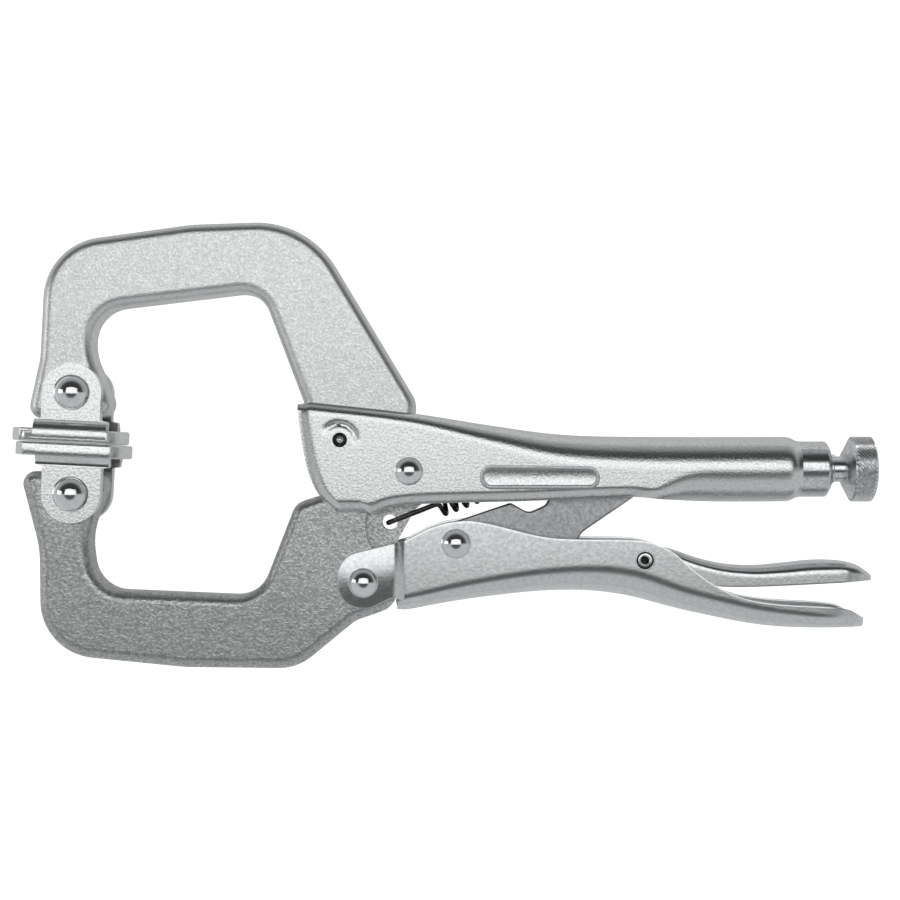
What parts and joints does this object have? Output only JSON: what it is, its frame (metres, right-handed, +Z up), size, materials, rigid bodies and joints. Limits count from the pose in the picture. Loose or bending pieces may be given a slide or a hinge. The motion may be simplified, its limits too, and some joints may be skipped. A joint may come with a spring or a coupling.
{
  "type": "locking c clamp",
  "caption": "Locking C clamp with forged jaws, swivel pads, a toggle link and a knurled adjusting screw; it closes by squeezing the handles and opens by a release lever.",
  "frame": {"origin": "middle of the footprint, on the surface that the clamp lies on, on its side", "axes": "+X from the jaws to the adjusting screw, +Y from the hinged handle to the fixed handle, +Z up through the thickness"},
  "size_m": [0.1501, 0.0775, 0.0166],
  "materials": {
    "forged": "satin nickel plate over a grainy forging",
    "stamped": "nickel plate over stamped sheet",
    "link_plate": "plain blanked steel, lightly brushed",
    "polished": "mirror-bright rivet heads",
    "turned": "bright turned and knurled steel",
    "spring_wire": "dark oil-tempered wire"
  },
  "bodies": {
    "fixed_handle": {"upper_handle": "stamped", "end_bushing": "turned", "upper_jaw": "forged", "upper_jaw_pin": "polished", "jaw_pivot_rivet": "polished", "return_spring": "spring_wire"},
    "hinged_jaw": {"lower_jaw": "forged"},
    "hinged_handle": {"lower_handle": "stamped", "handle_pivot_rivet": "polished", "link_rivet": "polished", "release_lever_pin": "polished"},
    "link": {"toggle_link": "link_plate"},
    "lever": {"release_lever": "stamped"},
    "screw_thrust": {"screw_nose": "turned"},
    "screw": {"adjusting_screw": "turned", "screw_knob": "turned"},
    "upper_swivel": {"upper_pad": "stamped", "upper_pad_rivet": "polished"},
    "lower_swivel": {"lower_pad": "stamped", "lower_pad_rivet": "polished"}
  },
  "joints": [
    {"name": "jaw_pivot", "type": "hinge", "parent": "fixed_handle", "child": "hinged_jaw", "pos_m": [-0.00617, -0.00462, 0.0083], "axis": [0, 0, 1], "range_deg": [0, 30], "deforming": ["return_spring"]},
    {"name": "handle_pivot", "type": "hinge", "parent": "hinged_jaw", "child": "hinged_handle", "pos_m": [-0.01403, -0.02379, 0.0083], "axis": [0, 0, 1], "range_deg": [-78, 0]},
    {"name": "link_pivot", "type": "hinge", "parent": "hinged_handle", "child": "link", "pos_m": [0.0019, -0.01705, 0.0083], "axis": [0, 0, 1], "range_deg": [0, 82.5]},
    {"name": "release_press", "type": "hinge", "parent": "hinged_handle", "child": "lever", "pos_m": [0.03429, -0.01988, 0.0083], "axis": [0, 0, 1], "range_deg": [-6, 0]},
    {"name": "upper_pad_swivel", "type": "hinge", "parent": "fixed_handle", "child": "upper_swivel", "pos_m": [-0.064, 0.00892, 0.0083], "axis": [0, 0, 1], "range_deg": [0, 15]},
    {"name": "lower_pad_swivel", "type": "hinge", "parent": "hinged_jaw", "child": "lower_swivel", "pos_m": [-0.0642, -0.00852, 0.0083], "axis": [0, 0, 1], "range_deg": [-15, 0]},
    {"name": "screw_travel", "type": "slide", "parent": "fixed_handle", "child": "screw_thrust", "axis": [1, 0, 0], "range_m": [0, 0.01164]},
    {"name": "screw_turn", "type": "hinge", "parent": "screw_thrust", "child": "screw", "pos_m": [0.0709, -0.0043, 0.0083], "axis": [1, 0, 0], "range_deg": [0, 3960]}
  ],
  "couplings": [
    {"joint": "handle_pivot", "follows": "jaw_pivot", "ratio": -2.58},
    {"joint": "link_pivot", "follows": "jaw_pivot", "ratio": 2.73},
    {"joint": "upper_pad_swivel", "follows": "jaw_pivot", "ratio": 0.5},
    {"joint": "lower_pad_swivel", "follows": "jaw_pivot", "ratio": -0.5},
    {"joint": "screw_turn", "follows": "screw_travel", "rad_per_m": 5938.7}
  ]
}
